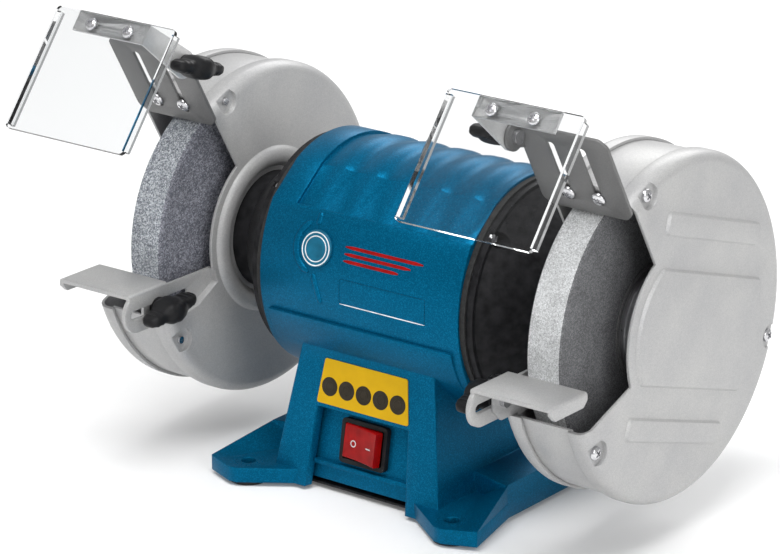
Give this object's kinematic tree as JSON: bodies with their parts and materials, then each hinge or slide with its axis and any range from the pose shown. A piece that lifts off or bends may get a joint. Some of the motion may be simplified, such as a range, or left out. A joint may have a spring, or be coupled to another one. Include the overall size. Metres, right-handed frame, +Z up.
{
  "type": "bench grinder",
  "caption": "Bench grinder with a ribbed motor casting on a pedestal, guarded abrasive wheels, clear eye shields, sliding tool rests and a rocker switch.",
  "frame": {"origin": "centre of the bench-bolt holes, on the bench under the rubber feet", "axes": "+X along the spindle to the right-hand wheel, +Y to the back, +Z up"},
  "size_m": [0.414, 0.2935, 0.311],
  "materials": {
    "blue_paint": "fine metallic enamel on a ribbed casting",
    "black_paint": "satin black on a casting",
    "gasket": "matt",
    "steel_screws": "bright zinc",
    "silver_paint": "light satin",
    "machined_steel": "turned",
    "lamination_steel": "stacked sheet",
    "winding": "varnished copper wire",
    "cast_aluminium": "cast",
    "wheel_fine": "finer grit",
    "wheel_coarse": "coarse grit",
    "card": "plain card",
    "clear_shield": "clear moulded pane",
    "black_plastic": "moulded",
    "red_plastic": "moulded",
    "yellow_label": "printed foil",
    "badge": "smooth",
    "zinc_plate": "pressed sheet",
    "foot_rubber": "matt"
  },
  "bodies": {
    "root": {"badge_disc": "badge", "base_plate": "zinc_plate", "base_screws": "steel_screws", "bearing_outer_rings": "machined_steel", "bell_gaskets": "gasket", "bell_screws": "steel_screws", "cable_gland": "black_plastic", "capacitor_clamp": "black_plastic", "end_bell_left": "black_paint", "end_bell_right": "black_paint", "front_label": "yellow_label", "guard_band_left": "silver_paint", "guard_band_right": "silver_paint", "guard_cover_screws": "steel_screws", "guard_inner_dish_left": "silver_paint", "guard_inner_dish_right": "silver_paint", "guard_mount_screws": "steel_screws", "guard_outer_cover_left": "silver_paint", "guard_outer_cover_right": "silver_paint", "motor_housing": "blue_paint", "rest_clamp_bolts": "steel_screws", "rubber_feet": "foot_rubber", "run_capacitor": "black_plastic", "spark_guard_screws": "steel_screws", "stator_core": "lamination_steel", "stator_windings": "winding", "switch_body": "black_plastic", "terminal_block": "black_plastic", "wave_washer": "machined_steel"},
    "spindle": {"spindle_shaft": "machined_steel", "rotor_core": "lamination_steel", "rotor_end_rings": "cast_aluminium", "bearing_inner_rings": "machined_steel", "inner_flanges": "machined_steel", "outer_flanges": "machined_steel", "spindle_nut_left": "steel_screws", "spindle_nut_right": "steel_screws", "grinding_wheel_left": "wheel_coarse", "grinding_wheel_right": "wheel_fine", "wheel_bushings": "cast_aluminium", "wheel_blotters": "card"},
    "rocker": {"switch_rocker": "red_plastic"},
    "bearing_cage_left": {"bearing_balls_left": "machined_steel"},
    "spark_left": {"spark_guard_left": "silver_paint", "shield_clamp_bolt_left": "steel_screws"},
    "shield_left": {"eye_shield_left": "clear_shield", "shield_holder_left": "silver_paint", "shield_screws_left": "steel_screws"},
    "shield_knob_body_left": {"shield_knob_left": "black_plastic"},
    "rest_left": {"tool_rest_left": "silver_paint"},
    "rest_knob_body_left": {"rest_knob_left": "black_plastic"},
    "bearing_cage_right": {"bearing_balls_right": "machined_steel"},
    "spark_right": {"spark_guard_right": "silver_paint", "shield_clamp_bolt_right": "steel_screws"},
    "shield_right": {"eye_shield_right": "clear_shield", "shield_holder_right": "silver_paint", "shield_screws_right": "steel_screws"},
    "shield_knob_body_right": {"shield_knob_right": "black_plastic"},
    "rest_right": {"tool_rest_right": "silver_paint"},
    "rest_knob_body_right": {"rest_knob_right": "black_plastic"}
  },
  "joints": [
    {"name": "spindle_spin", "type": "hinge", "parent": "root", "child": "spindle", "pos_m": [0, 0, 0.141], "axis": [1, 0, 0], "continuous": true},
    {"name": "switch_press", "type": "hinge", "parent": "root", "child": "rocker", "pos_m": [0, -0.06951, 0.03843], "axis": [0, 0.1551, 0.9879], "range_deg": [0, 19]},
    {"name": "bearing_cage_spin_left", "type": "hinge", "parent": "root", "child": "bearing_cage_left", "pos_m": [-0.114, 0, 0.141], "axis": [1, 0, 0], "continuous": true},
    {"name": "spark_guard_slide_left", "type": "slide", "parent": "root", "child": "spark_left", "axis": [0, -0.5, 0.866], "range_m": [-0.0025, 0.0035]},
    {"name": "shield_tilt_left", "type": "hinge", "parent": "spark_left", "child": "shield_left", "pos_m": [-0.13, -0.09248, 0.27698], "axis": [1, 0, 0], "range_deg": [-75, 40]},
    {"name": "shield_knob_turn_left", "type": "hinge", "parent": "spark_left", "child": "shield_knob_body_left", "pos_m": [-0.12, -0.09248, 0.27698], "axis": [1, 0, 0], "range_deg": [0, 450]},
    {"name": "rest_slide_left", "type": "slide", "parent": "root", "child": "rest_left", "axis": [0, 1, 0], "range_m": [-0.0045, 0.003]},
    {"name": "rest_knob_turn_left", "type": "hinge", "parent": "root", "child": "rest_knob_body_left", "pos_m": [-0.126, -0.115, 0.1165], "axis": [1, 0, 0], "range_deg": [0, 450]},
    {"name": "bearing_cage_spin_right", "type": "hinge", "parent": "root", "child": "bearing_cage_right", "pos_m": [0.114, 0, 0.141], "axis": [1, 0, 0], "continuous": true},
    {"name": "spark_guard_slide_right", "type": "slide", "parent": "root", "child": "spark_right", "axis": [0, -0.5, 0.866], "range_m": [-0.0025, 0.0035]},
    {"name": "shield_tilt_right", "type": "hinge", "parent": "spark_right", "child": "shield_right", "pos_m": [0.13, -0.09248, 0.27698], "axis": [1, 0, 0], "range_deg": [-75, 40]},
    {"name": "shield_knob_turn_right", "type": "hinge", "parent": "spark_right", "child": "shield_knob_body_right", "pos_m": [0.12, -0.09248, 0.27698], "axis": [-1, 0, 0], "range_deg": [0, 450]},
    {"name": "rest_slide_right", "type": "slide", "parent": "root", "child": "rest_right", "axis": [0, 1, 0], "range_m": [-0.0045, 0.003]},
    {"name": "rest_knob_turn_right", "type": "hinge", "parent": "root", "child": "rest_knob_body_right", "pos_m": [0.126, -0.115, 0.1165], "axis": [-1, 0, 0], "range_deg": [0, 450]}
  ],
  "couplings": [
    {"joint": "bearing_cage_spin_left", "follows": "spindle_spin", "ratio": 0.3807},
    {"joint": "bearing_cage_spin_right", "follows": "spindle_spin", "ratio": 0.3807}
  ]
}
